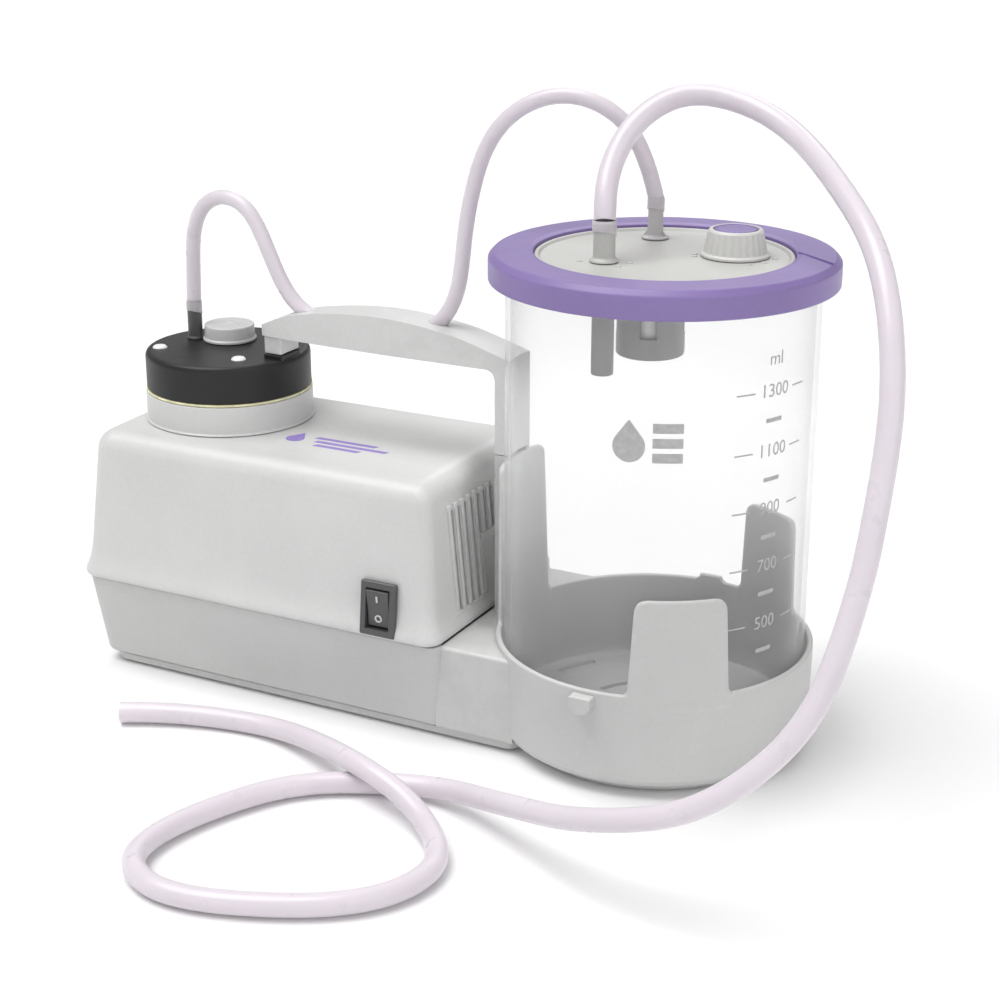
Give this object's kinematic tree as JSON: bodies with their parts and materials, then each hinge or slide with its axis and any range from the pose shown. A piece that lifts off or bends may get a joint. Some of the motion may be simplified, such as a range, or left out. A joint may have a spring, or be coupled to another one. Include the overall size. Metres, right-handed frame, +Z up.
{
  "type": "suction pump",
  "caption": "Portable medical suction pump: grey housing with a piston pump head and carry handle, a clear graduated jar in an open holder, purple screw ring, vacuum and patient hoses.",
  "frame": {"origin": "centre of the pump's bounding box without its hoses, on the surface it stands on", "axes": "+Z up, +X from the pump head toward the jar, -Y the front with the rocker switch"},
  "size_m": [0.3427, 0.2541, 0.2422],
  "materials": {
    "housing": "smooth light grey moulded ABS",
    "holder": "smooth light grey moulded ABS",
    "lid_grey": "cream-grey moulded plastic",
    "ring_purple": "satin purple moulded plastic",
    "black_plastic": "satin black moulded plastic",
    "switch_grey": "dark grey satin plastic",
    "white_plastic": "white plastic",
    "grey_plastic": "mid grey satin plastic",
    "seal": "pale yellow silicone",
    "black_rubber": "matt black rubber",
    "jar_clear": "clear polycarbonate, slightly hazy",
    "hose_clear": "translucent lilac silicone tubing",
    "steel": "plain machined steel",
    "light_alloy": "machined light alloy",
    "brass": "machined brass"
  },
  "bodies": {
    "base": {"base_tray": "holder", "bottom_plate": "holder", "handle_post": "holder", "rubber_foot_1": "black_rubber", "rubber_foot_2": "black_rubber", "rubber_foot_3": "black_rubber", "rubber_foot_4": "black_rubber", "base_screw_1": "steel", "base_screw_2": "steel", "base_screw_3": "steel", "base_screw_4": "steel", "upper_cover": "housing", "head_collar": "housing", "head_gasket": "seal", "head_cap": "black_plastic", "cap_plug_1": "white_plastic", "cap_plug_2": "white_plastic", "cap_plug_3": "white_plastic", "head_nipple": "switch_grey", "handle": "housing", "handle_foot": "housing", "switch_bezel": "switch_grey", "mains_inlet": "black_plastic", "fuse_holder": "black_plastic", "motor_body": "steel", "motor_cradle": "steel", "pump_sleeve": "light_alloy", "pump_stand": "steel", "valve_plate": "brass"},
    "regulator": {"head_knob": "housing"},
    "rocker": {"switch_rocker": "switch_grey"},
    "drive": {"motor_shaft": "steel", "cooling_fan": "black_plastic"},
    "piston": {"connecting_rod": "brass", "piston": "light_alloy"},
    "jar": {"jar": "jar_clear", "lid": "lid_grey", "lid_gasket": "seal", "patient_nozzle": "lid_grey", "vacuum_nozzle": "grey_plastic", "dip_tube": "grey_plastic", "float_cage": "grey_plastic", "patient_hose": "hose_clear", "vacuum_hose": "hose_clear"},
    "ring": {"screw_ring": "ring_purple"},
    "port_knob": {"lid_knob": "lid_grey", "lid_knob_disc": "ring_purple"},
    "float": {"float": "white_plastic"}
  },
  "joints": [
    {"name": "regulator_turn", "type": "hinge", "parent": "base", "child": "regulator", "pos_m": [-0.111, 0.0125, 0.13], "axis": [0, 0, 1], "range_deg": [0, 270]},
    {"name": "switch_tilt", "type": "hinge", "parent": "base", "child": "rocker", "pos_m": [-0.0047, -0.04854, 0.0502], "axis": [-1, 0, 0], "range_deg": [0, 22]},
    {"name": "drive_spin", "type": "hinge", "parent": "base", "child": "drive", "pos_m": [-0.06, 0.0031, 0.046], "axis": [1, 0, 0], "continuous": true},
    {"name": "piston_stroke", "type": "slide", "parent": "base", "child": "piston", "axis": [0, 0, 1], "range_m": [-0.002, 0.002]},
    {"name": "jar_lift", "type": "slide", "parent": "base", "child": "jar", "axis": [0, 0, 1], "range_m": [0, 0.095]},
    {"name": "ring_turn", "type": "hinge", "parent": "jar", "child": "ring", "pos_m": [0.0855, 0, 0.18], "axis": [0, 0, 1], "range_deg": [0, 90]},
    {"name": "port_knob_turn", "type": "hinge", "parent": "jar", "child": "port_knob", "pos_m": [0.1074, 0.0119, 0.188], "axis": [0, 0, 1], "range_deg": [0, 180]},
    {"name": "float_rise", "type": "slide", "parent": "jar", "child": "float", "axis": [0, 0, 1], "range_m": [0, 0.019]}
  ]
}
